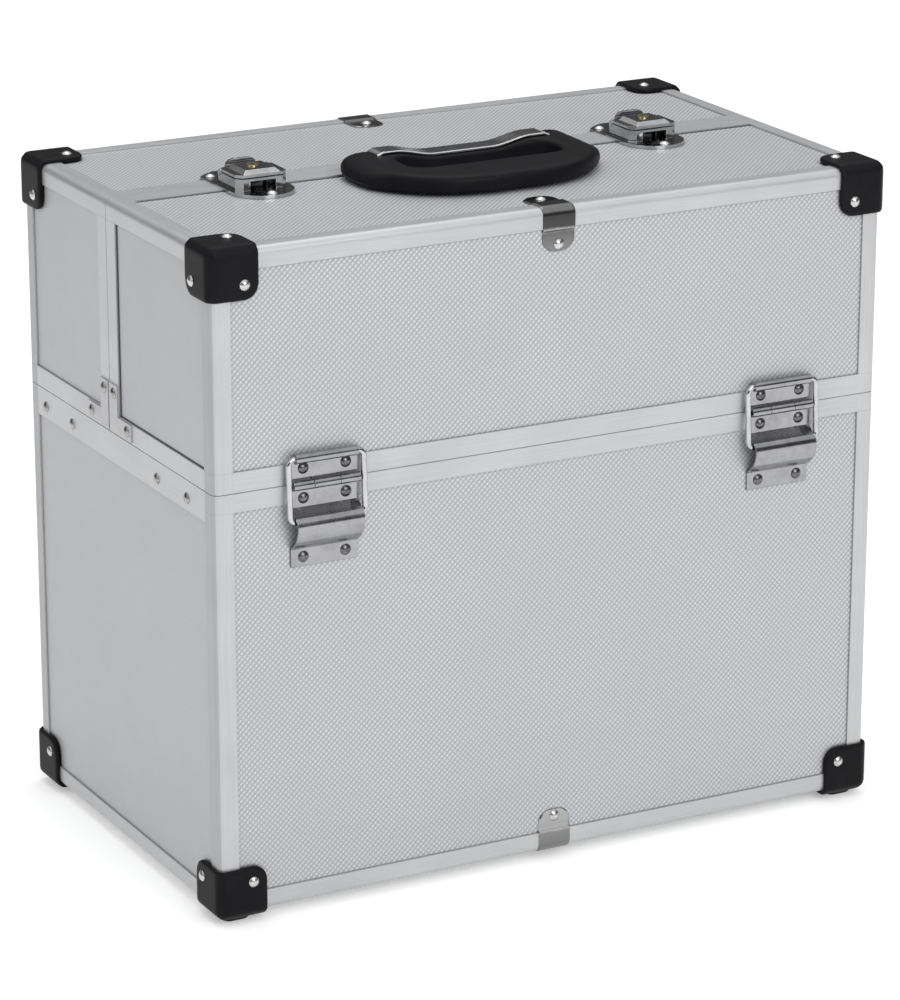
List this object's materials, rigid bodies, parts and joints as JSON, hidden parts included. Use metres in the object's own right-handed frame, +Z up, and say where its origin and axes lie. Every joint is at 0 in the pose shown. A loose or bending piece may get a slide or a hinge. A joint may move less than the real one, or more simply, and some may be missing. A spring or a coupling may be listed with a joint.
{
  "type": "two-lid aluminium tool case",
  "caption": "Upright aluminium-framed tool case whose two lids open outward on stay hinges, with a fold-down carrying handle and key latches on top.",
  "frame": {"origin": "on the floor under the centre of the box", "axes": "+X along the long side, -Y towards the front with the longer lid, +Z up"},
  "size_m": [0.3834, 0.2422, 0.3554],
  "materials": {
    "embossed_board": "silver laminate with a fine embossed diamond pattern",
    "aluminium_rail": "satin anodised extrusion",
    "moulded_black": "matt black moulding",
    "plated_steel": "bright plated sheet",
    "chromed_steel": "polished chrome plate",
    "rivet_steel": "bright dome",
    "key_brass": "satin",
    "foam_lining": "dark soft lining sheet"
  },
  "bodies": {
    "base": {"base_front_panel": "embossed_board", "base_back_panel": "embossed_board", "base_left_panel": "embossed_board", "base_right_panel": "embossed_board", "base_bottom_panel": "embossed_board", "base_rim_rails": "aluminium_rail", "base_edge_rails": "aluminium_rail", "base_corner_caps": "moulded_black", "base_edge_clips": "plated_steel", "base_rivets": "rivet_steel", "base_lining": "foam_lining", "hinge_pins": "rivet_steel", "hinge_lower_leaf_front_left": "chromed_steel", "hinge_lower_leaf_front_right": "chromed_steel", "hinge_lower_leaf_back_left": "chromed_steel", "hinge_lower_leaf_back_right": "chromed_steel"},
    "front_lid": {"front_lid_top_panel": "embossed_board", "front_lid_long_panel": "embossed_board", "front_lid_left_panel": "embossed_board", "front_lid_right_panel": "embossed_board", "front_lid_rim_rails": "aluminium_rail", "front_lid_edge_rails": "aluminium_rail", "front_lid_split_rails": "aluminium_rail", "front_lid_corner_caps": "moulded_black", "front_lid_edge_clip": "plated_steel", "front_lid_corner_plates": "plated_steel", "front_lid_rivets": "rivet_steel", "front_lid_lining": "foam_lining", "hinge_upper_leaf_front_left": "chromed_steel", "hinge_upper_leaf_front_right": "chromed_steel", "handle_saddles": "plated_steel", "latch_plate_left": "chromed_steel", "latch_plate_right": "chromed_steel", "latch_pivot_pins": "rivet_steel"},
    "back_lid": {"back_lid_top_panel": "embossed_board", "back_lid_long_panel": "embossed_board", "back_lid_left_panel": "embossed_board", "back_lid_right_panel": "embossed_board", "back_lid_rim_rails": "aluminium_rail", "back_lid_edge_rails": "aluminium_rail", "back_lid_split_rails": "aluminium_rail", "back_lid_corner_caps": "moulded_black", "back_lid_edge_clip": "plated_steel", "back_lid_corner_plates": "plated_steel", "back_lid_rivets": "rivet_steel", "back_lid_lining": "foam_lining", "hinge_upper_leaf_back_left": "chromed_steel", "hinge_upper_leaf_back_right": "chromed_steel", "latch_catch_left": "chromed_steel", "latch_catch_right": "chromed_steel"},
    "stay_front_left": {"hinge_stay_front_left": "chromed_steel"},
    "stay_front_right": {"hinge_stay_front_right": "chromed_steel"},
    "stay_back_left": {"hinge_stay_back_left": "chromed_steel"},
    "stay_back_right": {"hinge_stay_back_right": "chromed_steel"},
    "handle": {"handle_grip": "moulded_black", "handle_strap": "plated_steel"},
    "lever_left": {"latch_lever_left": "chromed_steel"},
    "key_left": {"latch_key_cylinder_left": "key_brass"},
    "lever_right": {"latch_lever_right": "chromed_steel"},
    "key_right": {"latch_key_cylinder_right": "key_brass"}
  },
  "joints": [
    {"name": "front_lid_hinge", "type": "hinge", "parent": "base", "child": "front_lid", "pos_m": [0, -0.11505, 0.223], "axis": [1, 0, 0], "range_deg": [0, 95]},
    {"name": "back_lid_hinge", "type": "hinge", "parent": "base", "child": "back_lid", "pos_m": [0, 0.11505, 0.223], "axis": [-1, 0, 0], "range_deg": [0, 95]},
    {"name": "stay_turn_front_left", "type": "hinge", "parent": "front_lid", "child": "stay_front_left", "pos_m": [-0.1295, -0.11505, 0.2365], "axis": [1, 0, 0], "range_deg": [-63.2, 0]},
    {"name": "stay_turn_front_right", "type": "hinge", "parent": "front_lid", "child": "stay_front_right", "pos_m": [0.1295, -0.11505, 0.2365], "axis": [1, 0, 0], "range_deg": [-63.2, 0]},
    {"name": "stay_turn_back_left", "type": "hinge", "parent": "back_lid", "child": "stay_back_left", "pos_m": [-0.1295, 0.11505, 0.2365], "axis": [-1, 0, 0], "range_deg": [-63.2, 0]},
    {"name": "stay_turn_back_right", "type": "hinge", "parent": "back_lid", "child": "stay_back_right", "pos_m": [0.1295, 0.11505, 0.2365], "axis": [-1, 0, 0], "range_deg": [-63.2, 0]},
    {"name": "handle_turn", "type": "hinge", "parent": "front_lid", "child": "handle", "pos_m": [0, -0.0065, 0.3488], "axis": [-1, 0, 0], "range_deg": [0, 90]},
    {"name": "lever_turn_left", "type": "hinge", "parent": "front_lid", "child": "lever_left", "pos_m": [-0.1125, 0.0073, 0.3492], "axis": [-1, 0, 0], "range_deg": [0, 70]},
    {"name": "key_turn_left", "type": "hinge", "parent": "lever_left", "child": "key_left", "pos_m": [-0.1125, -0.0018, 0.3534], "axis": [0, 0, 1], "range_deg": [0, 90]},
    {"name": "lever_turn_right", "type": "hinge", "parent": "front_lid", "child": "lever_right", "pos_m": [0.1125, 0.0073, 0.3492], "axis": [-1, 0, 0], "range_deg": [0, 70]},
    {"name": "key_turn_right", "type": "hinge", "parent": "lever_right", "child": "key_right", "pos_m": [0.1125, -0.0018, 0.3534], "axis": [0, 0, 1], "range_deg": [0, 90]}
  ],
  "couplings": [
    {"joint": "stay_turn_front_left", "follows": "front_lid_hinge", "ratio": -0.662},
    {"joint": "stay_turn_front_right", "follows": "front_lid_hinge", "ratio": -0.662},
    {"joint": "stay_turn_back_left", "follows": "back_lid_hinge", "ratio": -0.662},
    {"joint": "stay_turn_back_right", "follows": "back_lid_hinge", "ratio": -0.662}
  ]
}
